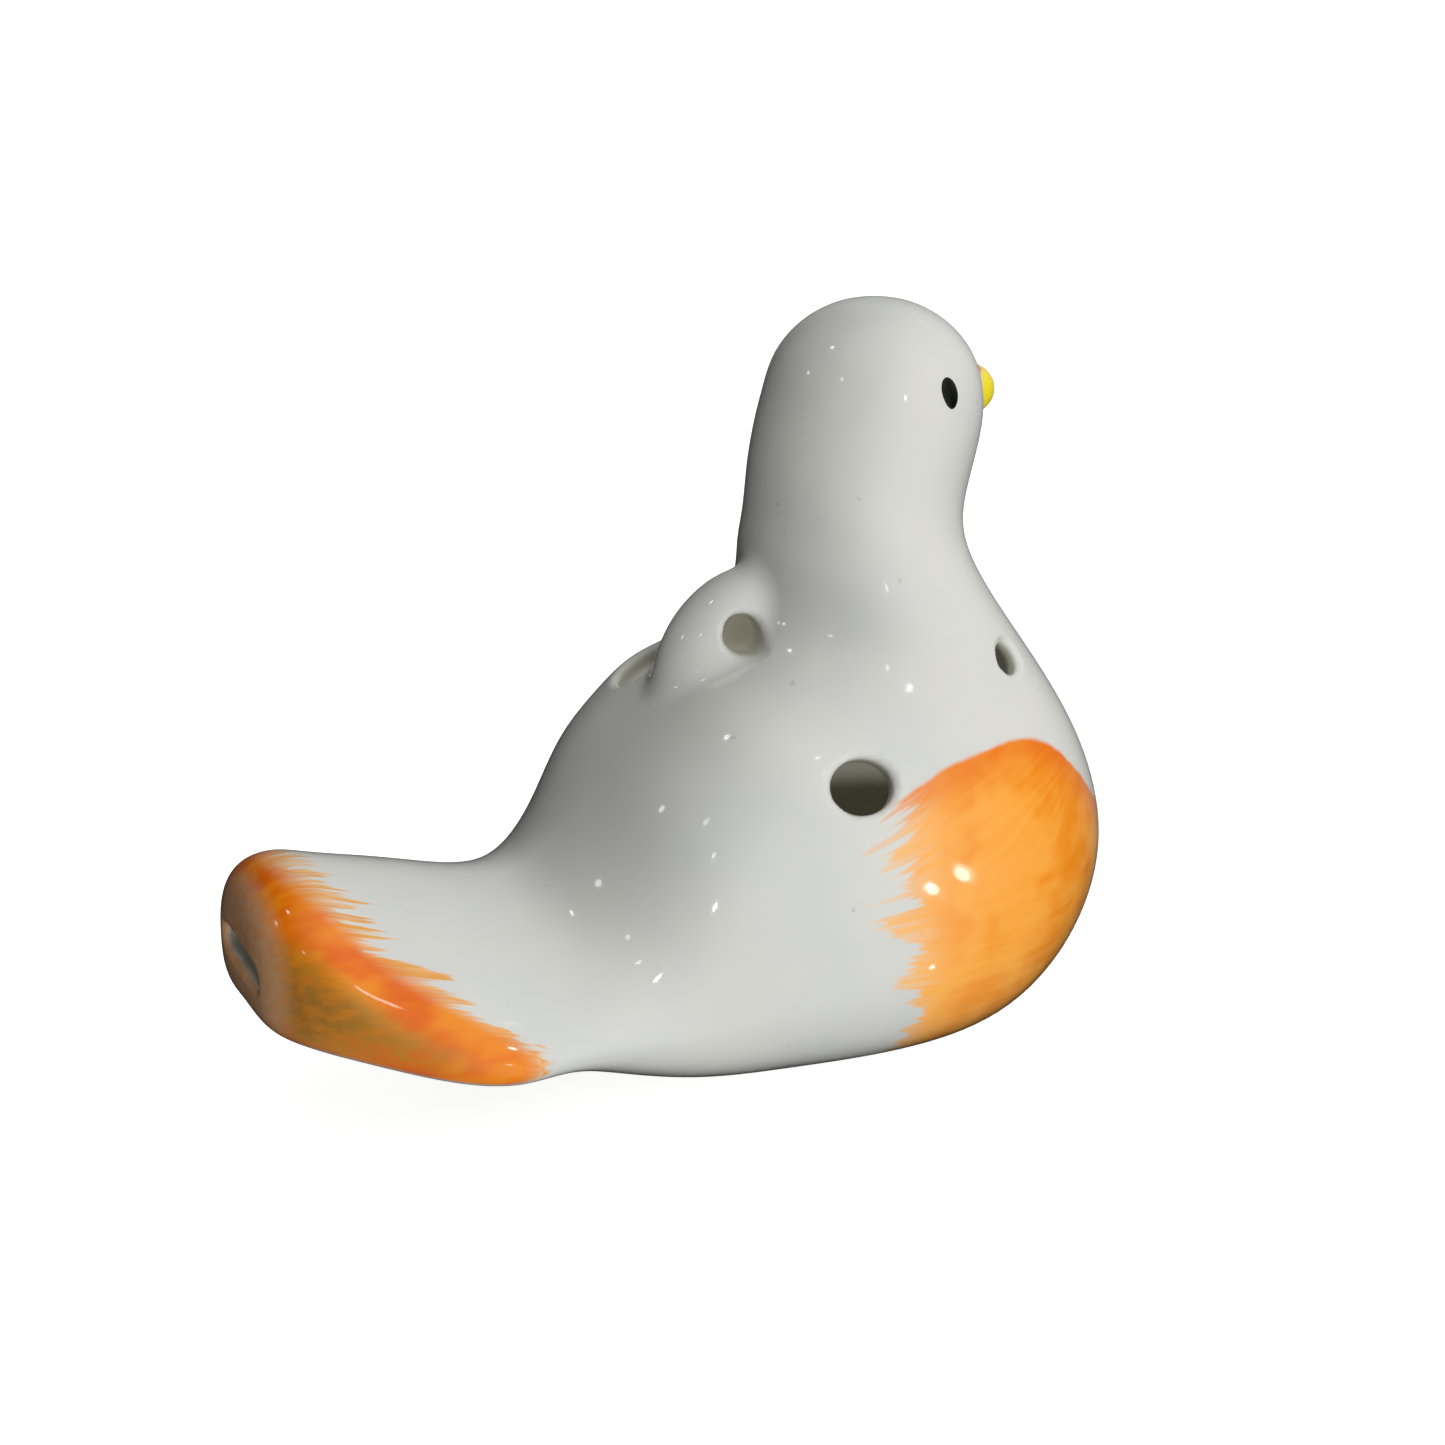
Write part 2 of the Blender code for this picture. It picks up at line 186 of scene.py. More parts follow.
def skin(grow, floor, start, per_section, sides):
    """The body's closed skin as points and polygons, moved out by grow and kept above the floor."""
    sections = all_sections(grow)
    last = len(sections) - 1
    rings = round((last - start) * per_section) + 1
    read = natural_spline(sections, np.linspace(start, last, rings))
    back_x, back_z, belly_x, belly_z, widest, half_width, droop, full_back, full_belly = (
        read.T[:, :, None]
    )
    angle = np.linspace(0, 2 * math.pi, sides, endpoint=False)[None, :]
    side, up = np.cos(angle), np.sin(angle)
    power = np.where(up >= 0, 2 / full_back, 2 / full_belly)
    side = np.sign(side) * np.abs(side) ** power
    up = np.sign(up) * np.abs(up) ** power
    share = widest + np.where(up >= 0, up * (1 - widest), up * widest)
    x = belly_x + share * (back_x - belly_x)
    y = half_width * side
    z = belly_z + share * (back_z - belly_z) - droop * side**2
    points = np.stack((x, y, np.maximum(z, floor)), axis=2)[:-1]
    rings -= 1
    top = np.array((HEAD_X, 0.0, HEAD_Z + HEAD_HEIGHT + grow))
    ends = np.array((points[0].mean(axis=0), top))
    lower = np.arange((rings - 1) * sides).reshape(rings - 1, sides)
    quads = np.stack(
        (lower, np.roll(lower, -1, 1), np.roll(lower, -1, 1) + sides, lower + sides), axis=2
    ).reshape(-1, 4)
    first, final = rings * sides, rings * sides + 1
    polygons = quads.tolist()
    for j in range(sides):
        k = (j + 1) % sides
        polygons.append([first, k, j])
        base = (rings - 1) * sides
        polygons.append([base + j, base + k, final])
    return np.concatenate((points.reshape(-1, 3), ends)), polygons


def placed(name, data):
    """A new object in the scene, with the mesh, lamp or camera that it shows."""
    made = bpy.data.objects.new(name, data)
    bpy.context.scene.collection.objects.link(made)
    return made


def object_of(points, polygons, name="scratch"):
    """A mesh object in the scene."""
    mesh = bpy.data.meshes.new(name)
    mesh.from_pydata(np.asarray(points).tolist(), [], [list(p) for p in polygons])
    return placed(name, mesh)


def outward(piece):
    """Turns the piece's faces outwards."""
    bm = bmesh.new()
    bm.from_mesh(piece.data)
    bmesh.ops.remove_doubles(bm, verts=bm.verts, dist=1e-4)
    bmesh.ops.recalc_face_normals(bm, faces=bm.faces)
    bm.to_mesh(piece.data)
    bm.free()
    return piece


def block(low, high, turn=None, place=None):
    """A box between two corners, which may then be turned and moved."""
    low, high = Vector(low), Vector(high)
    bm = bmesh.new()
    matrix = Matrix.Translation((low + high) / 2) @ Matrix.Diagonal((high - low).to_4d())
    if place is not None:
        matrix = Matrix.Translation(place) @ turn @ matrix
    bmesh.ops.create_cube(bm, size=1.0, matrix=matrix)
    mesh = bpy.data.meshes.new("scratch")
    bm.to_mesh(mesh)
    bm.free()
    return placed("scratch", mesh)


def bar(points):
    """A closed bar between two rings of points, one after the other in the list."""
    sides = len(points) // 2
    polygons = [(i, (i + 1) % sides, (i + 1) % sides + sides, i + sides) for i in range(sides)]
    polygons += [tuple(range(sides))[::-1], tuple(range(sides, 2 * sides))]
    return outward(object_of(points, polygons))


def rod(centre, way, length, width, height):
    """A round or oval bar centred on a point and lying along a direction."""
    sides = 64
    turn = Vector(way).to_track_quat("Z", "Y").to_matrix().to_4x4()
    size = Matrix.Diagonal((width / 2, height / 2, length / 2, 1.0))
    matrix = Matrix.Translation(centre) @ turn @ size
    ring = [
        (math.cos(2 * math.pi * i / sides), math.sin(2 * math.pi * i / sides)) for i in range(sides)
    ]
    return bar([matrix @ Vector((x, y, z)) for z in (-1, 1) for x, y in ring])


def windway():
    """The air channel from the slot in the tail to the window, with rounded sides."""
    overlap = 0.5
    start = Vector((SECTIONS[0][0] - WALL, 0.0, SLOT_Z))
    end = Vector((WINDOW_BACK_X + overlap, 0.0, WINDWAY_END_Z))
    roll = Matrix.Rotation(math.radians(SLOT_ROLL), 3, "X")
    outline = 40
    points = []
    for base, width, height in (
        (start, SLOT_WIDTH, SLOT_HEIGHT),
        (end, WINDWAY_END_WIDTH, WINDWAY_END_HEIGHT),
    ):
        for i in range(outline):
            turn = 2 * math.pi * i / outline
            side, up = math.cos(turn), math.sin(turn)
            y = math.copysign(width / 2 - height / 2, side) + side * height / 2
            points.append(base + roll @ Vector((0.0, y, up * height / 2)))
    return bar(points)


def labium_ramp():
    """The wedge of air under the labium's edge."""
    depth, behind = 12.0, 6.0
    half = WINDOW_WIDTH / 2
    turn = Matrix.Rotation(math.radians(LABIUM_SLOPE), 4, "Y")
    place = Vector((WINDOW_FRONT_X, 0.0, LABIUM_EDGE_Z))
    return block((-behind, -half, -depth), (depth, half, 0.0), turn, place)


def take(piece):
    """The points and triangles of an object with its modifiers applied."""
    depsgraph = bpy.context.evaluated_depsgraph_get()
    shaped = piece.evaluated_get(depsgraph)
    mesh = shaped.to_mesh()
    points = np.empty(len(mesh.vertices) * 3)
    mesh.vertices.foreach_get("co", points)
    mesh.calc_loop_triangles()
    triangles = np.empty(len(mesh.loop_triangles) * 3, int)
    mesh.loop_triangles.foreach_get("vertices", triangles)
    shaped.to_mesh_clear()
    return points.reshape(-1, 3), triangles.reshape(-1, 3)


def forget(*pieces):
    """Removes scratch objects and their meshes."""
    for piece in pieces:
        bpy.data.meshes.remove(piece.data)


def cut(piece, tool, operation="DIFFERENCE"):
    """Adds a Boolean to the piece."""
    modifier = piece.modifiers.new(operation, "BOOLEAN")
    modifier.operation = operation
    modifier.solver = "MANIFOLD"
    modifier.object = tool


def revoxel(piece):
    """Adds an even fine remesh to the piece."""
    modifier = piece.modifiers.new("even", "REMESH")
    modifier.mode = "VOXEL"
    modifier.voxel_size = VOXEL


def triangles_of(polygons):
    """The polygons as fans of triangles."""
    count = np.array([len(p) for p in polygons])
    parts = []
    for n in np.unique(count):
        same = np.array([polygons[i] for i in np.flatnonzero(count == n)])
        for k in range(1, n - 1):
            parts.append(same[:, (0, k, k + 1)])
    return np.concatenate(parts)


def unit(vectors):
    """The vectors at length 1."""
    return vectors / np.maximum(np.linalg.norm(vectors, axis=1, keepdims=True), 1e-12)


def face_normals(points, triangles):
    """Normals of the triangles, as long as twice their area."""
    a, b, c = (points[triangles[:, i]] for i in range(3))
    return np.cross(b - a, c - a)


def smooth_normals(points, triangles):
    """Normals at the points, averaged over the faces round them by area."""
    face = face_normals(points, triangles)
    total = np.zeros_like(points)
    for i in range(3):
        for axis in range(3):
            total[:, axis] += np.bincount(triangles[:, i], face[:, axis], len(points))
    return unit(total)


class Surface:
    """A surface that tells the nearest point on it, its smooth normal there, and the height."""

    def __init__(self, points, triangles, normals=None):
        self.points, self.triangles = points, triangles
        self.normals = smooth_normals(points, triangles) if normals is None else normals
        self.tree = BVHTree.FromPolygons(points.tolist(), triangles.tolist())

    def nearest(self, queries):
        """For each query: the nearest point, the normal there, and the height above it."""
        found = [self.tree.find_nearest(q) for q in queries.tolist()]
        place = np.array([f[0] for f in found])
        corners = self.triangles[np.array([f[2] for f in found])]
        a, b, c = (self.points[corners[:, i]] for i in range(3))
        ab, ac, ap = b - a, c - a, place - a
        d00, d01, d11 = (ab * ab).sum(1), (ab * ac).sum(1), (ac * ac).sum(1)
        d20, d21 = (ap * ab).sum(1), (ap * ac).sum(1)
        scale = np.maximum(d00 * d11 - d01 * d01, 1e-18)
        v = np.clip((d11 * d20 - d01 * d21) / scale, 0, 1)
        w = np.clip((d00 * d21 - d01 * d20) / scale, 0, 1)
        share = np.stack((np.clip(1 - v - w, 0, 1), v, w), 1)
        normal = unit((self.normals[corners] * share[:, :, None]).sum(1))
        return place, normal, ((queries - place) * normal).sum(1)


def lump_field(points, lump):
    """Height above a lump's ellipsoid, and the way up from it."""
    centre, half_size, tilt, _ = lump
    turn, size = np.array(Matrix.Rotation(math.radians(tilt), 3, "Y")), np.array(half_size)
    local = (points - np.array(centre)) @ turn
    near = np.linalg.norm(local / size, axis=1)
    slope = local / size**2
    steep = np.maximum(np.linalg.norm(slope, axis=1), 1e-9)
    return near * (near - 1) / steep, (slope / steep[:, None]) @ turn.T


def lump_ball(lump, grow=0.0):
    """A lump's ellipsoid as a mesh, moved out by grow."""
    sides, rings = 96, 64
    centre, half_size, tilt, _ = lump
    turn = np.array(Matrix.Rotation(math.radians(tilt), 3, "Y"))
    polar = np.linspace(0, math.pi, rings + 1)[1:-1, None]
    spin = np.linspace(0, 2 * math.pi, sides, endpoint=False)[None, :]
    ring = (np.cos(polar) + 0 * spin, np.sin(polar) * np.cos(spin), np.sin(polar) * np.sin(spin))
    points = np.concatenate((np.stack(ring, 2).reshape(-1, 3), ((1, 0, 0), (-1, 0, 0))))
    tip, tail = len(points) - 2, len(points) - 1
    polygons = []
    for j in range(sides):
        k = (j + 1) % sides
        polygons.append((tip, j, k))
        polygons.append((tail, (rings - 2) * sides + k, (rings - 2) * sides + j))
        for base in range(0, (rings - 2) * sides, sides):
            polygons.append((base + j, base + sides + j, base + sides + k, base + k))
    points = (points * (np.array(half_size) + grow)) @ turn.T + np.array(centre)
    return outward(object_of(points, polygons))


def grown_body(loft):
    """The body with the lug and the beak grown out of it, as points, triangles and normals."""
    body = outward(object_of(*loft))
    balls = [lump_ball(lump) for lump in LUMPS.values()]
    for ball in balls:
        cut(body, ball, "UNION")
    revoxel(body)
    points, triangles = take(body)
    forget(body, *balls)
    smooth = Surface(loft[0], triangles_of(loft[1]))
    if smooth.normals[np.argmax(loft[0][:, 2]), 2] < 0:
        smooth.normals *= -1
    place, normals, _ = smooth.nearest(points)
    settled = place.copy()
    for lump in LUMPS.values():
        reach = lump[3]
        near = lump_field(points, lump)[0] < reach + 1
        moving = points[near]
        for _ in range(FIT_PASSES):
            _, up_body, from_body = smooth.nearest(moving)
            from_lump, up_lump = lump_field(moving, lump)
            share = np.clip(0.5 + 0.5 * (from_lump - from_body) / reach, 0, 1)
            field = from_lump * (1 - share) + from_body * share - reach * share * (1 - share)
            slope = up_lump * (1 - share)[:, None] + up_body * share[:, None]
            size = np.maximum((slope * slope).sum(1), 0.1)
            moving = moving - slope * np.clip(field / size, -1, 1)[:, None]
        settled[near], normals[near] = moving, unit(slope)
    return settled, triangles, normals


def sharp_edge_points(points, triangles, angle):
    """Points along the edges where the surface turns by more than the angle."""
    face = unit(face_normals(points, triangles))
    sides = np.sort(np.concatenate((triangles[:, :2], triangles[:, 1:], triangles[:, ::2])), axis=1)
    owner = np.tile(np.arange(len(triangles)), 3)
    order = np.lexsort((sides[:, 1], sides[:, 0]))
    sides, owner = sides[order], owner[order]
    pair = np.flatnonzero((sides[1:] == sides[:-1]).all(axis=1))
    turned = (face[owner[pair]] * face[owner[pair + 1]]).sum(1) < math.cos(math.radians(angle))
    start, end = points[sides[pair[turned], 0]], points[sides[pair[turned], 1]]
    steps = np.linspace(0, 1, 5)[:, None, None]
    return (start * (1 - steps) + end * steps).reshape(-1, 3)


def relaxed(points, triangles, free, passes):
    """Moves the free points half way to the mean of their neighbours, a few times."""
    sides = np.concatenate((triangles[:, :2], triangles[:, 1:], triangles[:, ::2]))
    one, two = np.concatenate((sides, sides[:, ::-1])).T
    kept = free[one] > 0
    one, two = one[kept], two[kept]
    count = np.maximum(np.bincount(one, minlength=len(points)), 1)
    for _ in range(passes):
        mean = np.stack(
            [np.bincount(one, points[two, axis], len(points)) / count for axis in range(3)], axis=1
        )
        points = points + (mean - points) * (free * 0.5)[:, None]
    return points


def hollow_body():
    """The whole ceramic body: skin, chamber, windway, window, labium and all holes."""
    grown = Surface(*grown_body(skin(INSET, 0.0, 0.0, *FINE)))
    body = object_of(grown.points, grown.triangles)
    tools = [outward(object_of(*skin(-WALL, FOOT_WALL, CHAMBER_START, *COARSE)))]
    tools += [rod(place, way, 6 * WALL, *size) for place, way, size in FINGER_HOLES]
    tools.append(rod(LUG_HOLE, (0, 1, 0), LUG_HOLE_LENGTH, LUG_HOLE_DIAMETER, LUG_HOLE_DIAMETER))
    half, below = WINDOW_WIDTH / 2, -20.0
    tools += [
        windway(),
        block((WINDOW_BACK_X, -half, below), (WINDOW_FRONT_X, half, WINDOW_TOP_Z)),
        labium_ramp(),
    ]
    for tool in tools:
        cut(body, tool)
    sharp = Surface(*take(body))
    revoxel(body)
    points, triangles = take(body)
    forget(body, *tools)
    points = sharp.nearest(points)[0]
    rims = sharp_edge_points(sharp.points, sharp.triangles, RIM_ANGLE)
    tree = KDTree(len(rims))
    for i, rim in enumerate(rims.tolist()):
        tree.insert(rim, i)
    tree.balance()
    far = np.array([tree.find(p)[2] for p in points.tolist()])
    free = np.clip(1.6 - far / RIM_REACH * 1.6, 0, 1)
    points = relaxed(points, triangles, free, RIM_PASSES)
    normals = smooth_normals(points, triangles)
    _, exact, height = grown.nearest(points)
    round_to = RIM_REACH * 0.6  # from here outwards the skin's exact normals take over
    on_skin = (np.abs(height) < 0.02) & (far > round_to)
    blend = np.clip((far - round_to) / (RIM_REACH - round_to), 0, 1)[:, None]
    normals = np.where(on_skin[:, None], unit(exact * blend + normals * (1 - blend)), normals)
    return Surface(points, triangles, normals), grown


def finished(name, points, triangles, normals):
    """The piece as an object at its real size, smooth-shaded with its corners' normals."""
    mesh = bpy.data.meshes.new(name)
    mesh.from_pydata((points * MM).tolist(), [], triangles.tolist())
    mesh.shade_smooth()
    mesh.normals_split_custom_set(normals.reshape(-1, 3).tolist())
    return placed(name, mesh)


def part_of(body, grown, name, regions):
    """The share of the body inside the regions, with the normals of the whole body."""
    piece = object_of(body.points, body.triangles)
    for operation, region in regions:
        cut(piece, region, operation)
    points, triangles = take(piece)
    forget(piece)
    face = unit(face_normals(points, triangles))
    _, smooth, height = body.nearest(points)
    corner = smooth[triangles]
    across = (corner * face[:, None, :]).sum(2) < 0.35
    in_the_seam = across | (np.abs(height)[triangles] > 0.01)
    corner = np.where(in_the_seam[:, :, None], face[:, None, :], corner)
    made = finished(name, points, triangles, corner)
    depth = made.data.attributes.new("depth", "FLOAT", "POINT")
    depth.data.foreach_set("value", (-grown.nearest(points)[2]).astype(np.float32))
    return made


def split_body():
    """The parts of the ceramic body, cut along the CAD's seams."""
    body, grown = hollow_body()
    half, far = WINDOW_WIDTH / 2, 130.0
    behind_edge, below_top, core_inset, ball_growth = 0.2, 2.0, 0.4, 0.25
    right = block((SEAM_X, -far, -far), (far, 0, far))
    left = block((SEAM_X, 0, -far), (far, far, far))
    tail = block((-far, -far, -far), (SEAM_X, far, far))
    labium = block(
        (WINDOW_FRONT_X - behind_edge, -half, -far), (SEAM_X, half, WINDOW_TOP_Z - below_top)
    )
    core = outward(object_of(*skin(INSET - core_inset, 0.0, 0.0, *COARSE)))
    lumps = {}
    for name, lump in LUMPS.items():
        lumps[name] = lump_ball(lump, lump[3] * ball_growth)
        cut(lumps[name], core)
    recipe = {
        "right_shell": [("INTERSECT", right), *(("DIFFERENCE", ball) for ball in lumps.values())],
        "left_shell": [("INTERSECT", left), *(("DIFFERENCE", ball) for ball in lumps.values())],
        "tail_mouthpiece": [("INTERSECT", tail), ("DIFFERENCE", labium)],
        "labium": [("INTERSECT", labium)],
        "lanyard_lug": [("INTERSECT", lumps["lanyard_lug"])],
        "beak": [("INTERSECT", lumps["beak"])],
    }
    pieces = {name: part_of(body, grown, name + "_glazed", steps) for name, steps in recipe.items()}
    forget(right, left, tail, labium, core, *lumps.values())
    return pieces, grown


def eye(name, side, grown):
    """A low oval drop of enamel on one side of the head, following its curve."""
    way = Vector((EYE_WAY_OUT[0], side * EYE_WAY_OUT[1], EYE_WAY_OUT[2])).normalized()
    x, y, z = EYE_POINT
    centre = Vector((x, side * y, z))
    forward = (Vector((1, 0, 0)) - way * way.x).normalized()
    upward = forward.cross(way)
    if upward.z < 0:
        upward.negate()
    rings, sides, clear = 14, 56, 6
    points, lift = [], []
    for i in range(rings + 3):
        share = min(i / rings, 1.0)
        for j in range(sides):
            turn = 2 * math.pi * j / sides
            egg = 1 + 0.07 * math.sin(turn) + 0.03 * math.cos(2 * turn + 0.6)
            across = EYE_HALF_SIZE[0] * share * math.cos(turn) * egg
            along = EYE_HALF_SIZE[1] * share * math.sin(turn)
            lean = forward * (across - EYE_LEAN * along)
            start = centre + lean + upward * along + way * clear
            points.append(grown.tree.ray_cast(start, -way)[0])
            lift.append(EYE_HEIGHT * (1 - share**2) ** 0.5 - EYE_SINK[max(i - rings + 1, 0)])
    points = np.array(points)
    _, normal, _ = grown.nearest(points)
    points = points + normal * np.array(lift)[:, None]
    polygons = []
    for i in range(rings + 2):
        for j in range(sides):
            k = (j + 1) % sides
            one, two = i * sides, (i + 1) * sides
            polygons.append((one + j, one + k, two + k, two + j))
    bottom = points[-sides:].mean(axis=0)
    points = np.concatenate((points, bottom[None]))
    base = (rings + 2) * sides
    for j in range(sides):
        polygons.append((base + j, base + (j + 1) % sides, len(points) - 1))
    drop = outward(object_of(points, polygons, name))
    drop.data.transform(Matrix.Scale(MM, 4))
    drop.data.shade_smooth()
    return drop


# ---------------------------------------------------------------- materials


class Number:
    """A value socket that takes part in plain arithmetic."""

    def __init__(self, paint, socket):
        self.paint, self.socket = paint, socket

    def __add__(self, other):
        return self.paint.math("ADD", self, other)

    def __sub__(self, other):
        return self.paint.math("SUBTRACT", self, other)

    def __rsub__(self, other):
        return self.paint.math("SUBTRACT", other, self)

    def __mul__(self, other):
        return self.paint.math("MULTIPLY", self, other)

    def __neg__(self):
        return self * -1.0

    __radd__ = __add__


class Paint:
    """A material built from short expressions over the object's own millimetres."""

    def __init__(self, name, roughness, coat=0.0):
        self.material = bpy.data.materials.new(name)
        self.material.use_nodes = True
        self.nodes = self.material.node_tree.nodes
        self.links = self.material.node_tree.links
        self.shader = self.nodes["Principled BSDF"]
        self.shader.inputs["Roughness"].default_value = roughness
        self.shader.inputs["Coat Weight"].default_value = coat
        self.shader.inputs["Coat Roughness"].default_value = 0.02
        place = self.nodes.new("ShaderNodeTexCoord")
        grown = self.nodes.new("ShaderNodeVectorMath")
        grown.operation = "SCALE"
        grown.inputs["Scale"].default_value = 1 / MM
        self.links.new(place.outputs["Object"], grown.inputs[0])
        self.place = grown.outputs[0]
        self.x, self.y, self.z = self.split(self.place)
        self.normal_z = self.split(place.outputs["Normal"])[2]

    def split(self, vector):
        """The x, y and z of a vector."""
        node = self.nodes.new("ShaderNodeSeparateXYZ")
        self.links.new(vector, node.inputs[0])
        return [Number(self, out) for out in node.outputs]

    def feed(self, value, socket):
        """Links or writes a value into a socket."""
        if isinstance(value, Number):
            value = value.socket
        if isinstance(value, bpy.types.NodeSocket):
            self.links.new(value, socket)
        else:
            socket.default_value = value

    def math(self, operation, *values):
        """One of Blender's Math operations on the values."""
        node = self.nodes.new("ShaderNodeMath")
        node.operation = operation
        for value, socket in zip(values, node.inputs):
            self.feed(value, socket)
        return Number(self, node.outputs[0])

    def rise(self, value, low, high):
        """0 below low, 1 above high and smooth between, or falling where low is the greater."""
        node = self.nodes.new("ShaderNodeMapRange")
        node.interpolation_type = "SMOOTHSTEP"
        for number, socket in zip((value, low, high), node.inputs):
            self.feed(number, socket)
        return Number(self, node.outputs[0])

    def vector(self, x, y, z):
        """A place made from three numbers."""
        node = self.nodes.new("ShaderNodeCombineXYZ")
        for value, socket in zip((x, y, z), node.inputs):
            self.feed(value, socket)
        return node.outputs[0]

    def noise(self, stretch, detail=2.0, roughness=0.5, shift=0.0, place=None):
        """Noise from 0 to 1, whose grain is 1/stretch millimetres long in x, y and z."""
        node = self.nodes.new("ShaderNodeVectorMath")
        node.operation = "MULTIPLY_ADD"
        self.links.new(self.place if place is None else place, node.inputs[0])
        node.inputs[1].default_value = stretch
        node.inputs[2].default_value = (shift, shift, shift)
        cloud = self.nodes.new("ShaderNodeTexNoise")
        cloud.inputs["Scale"].default_value = 1.0
        cloud.inputs["Detail"].default_value = detail
        cloud.inputs["Roughness"].default_value = roughness
        self.links.new(node.outputs[0], cloud.inputs["Vector"])
        return Number(self, cloud.outputs["Fac"])

    def mix(self, share, one, other):
        """one where share is 0, other where it is 1."""
        node = self.nodes.new("ShaderNodeMix")
        node.data_type = "RGBA"
        self.feed(share, node.inputs["Factor"])
        for value, socket in ((one, node.inputs[6]), (other, node.inputs[7])):
            self.feed((*value, 1.0) if isinstance(value, tuple) else value, socket)
        return node.outputs[2]

    def attribute(self, name):
        """A number that the mesh holds at its points."""
        node = self.nodes.new("ShaderNodeAttribute")
        node.attribute_name = name
        return Number(self, node.outputs["Fac"])

    def bump(self, height, strength, distance):
        """Relief, whose height of 1 stands for a distance in millimetres."""
        node = self.nodes.new("ShaderNodeBump")
        node.inputs["Strength"].default_value = strength
        node.inputs["Distance"].default_value = distance * MM
        self.feed(height, node.inputs["Height"])
        self.links.new(node.outputs[0], self.shader.inputs["Normal"])

    def colour(self, value):
        """Gives the surface its colour."""
        self.feed(value, self.shader.inputs["Base Color"])


WHITE = (0.575, 0.575, 0.545)
COOL_WHITE = (0.535, 0.545, 0.525)
SPECK = (0.30, 0.28, 0.25)
ORANGE = (0.76, 0.245, 0.008)
DEEP_ORANGE = (0.66, 0.115, 0.001)
LIGHT_ORANGE = (0.83, 0.375, 0.065)
PEACH = (0.80, 0.47, 0.20)
OCHRE = (0.46, 0.20, 0.016)
BROWN_PAINTED_SHADE = (0.17, 0.075, 0.010)
PINK_BROWN = (0.56, 0.33, 0.18)
STRAW = (0.64, 0.31, 0.06)
BISQUE = (0.52, 0.49, 0.42)
DARK_BISQUE = (0.50, 0.47, 0.40)
HOLE_WALL_PAINTED_SHADE = (0.40, 0.39, 0.33)
INSIDE_PAINTED_BOUNCE_LIGHT = (0.62, 0.60, 0.50)
YELLOW = (0.72, 0.60, 0.02)
RED = (0.62, 0.05, 0.05)
BLACK = (0.004, 0.005, 0.004)
WORN_BLACK = (0.012, 0.013, 0.012)
GLAZE_ROUGHNESS = 0.09
GLAZE_COAT = 0.6


def white_ground(paint):
    """White glaze with faint clouds and a few grey specks, dull in the holes, with painted shade on
    the hole walls and painted light deeper in.
    """
    cloud = paint.rise(paint.noise((0.05, 0.05, 0.05), 3), 0.35, 0.7)
    base = paint.mix(cloud, WHITE, COOL_WHITE)
    specks = paint.rise(paint.noise((0.55, 0.55, 0.55), 1, 0.4, 7.0), 0.775, 0.83)
    base = paint.mix(specks * 0.35, base, SPECK)
    depth = paint.attribute("depth")
    # painted shade: the walls of the holes are darkened below the skin
    base = paint.mix(paint.rise(depth, 0.3, 1.2), base, HOLE_WALL_PAINTED_SHADE)
    # painted light: deeper in, the walls turn lighter and warmer, standing in for light bouncing
    # round the chamber
    base = paint.mix(paint.rise(depth, 2.0, 4.0), base, INSIDE_PAINTED_BOUNCE_LIGHT)
    foot = paint.rise(-paint.z, -0.12, -0.04) * paint.rise(-paint.normal_z, 0.9, 0.97)
    return paint.mix(foot, base, BISQUE)


def glaze_relief(paint):
    """The slow waves and the fine orange peel of a glaze."""
    waves = paint.noise((0.12, 0.12, 0.12), 1) * 0.8
    peel = paint.noise((0.9, 0.9, 0.9), 2, 0.5, 3.0) * 0.02
    paint.bump(waves + peel, 0.35, 0.6)


def on_the_outside(paint):
    """1 on the outer skin, 0 on the walls of the holes and in the chamber."""
    return paint.rise(paint.attribute("depth"), 1.1, 0.3)


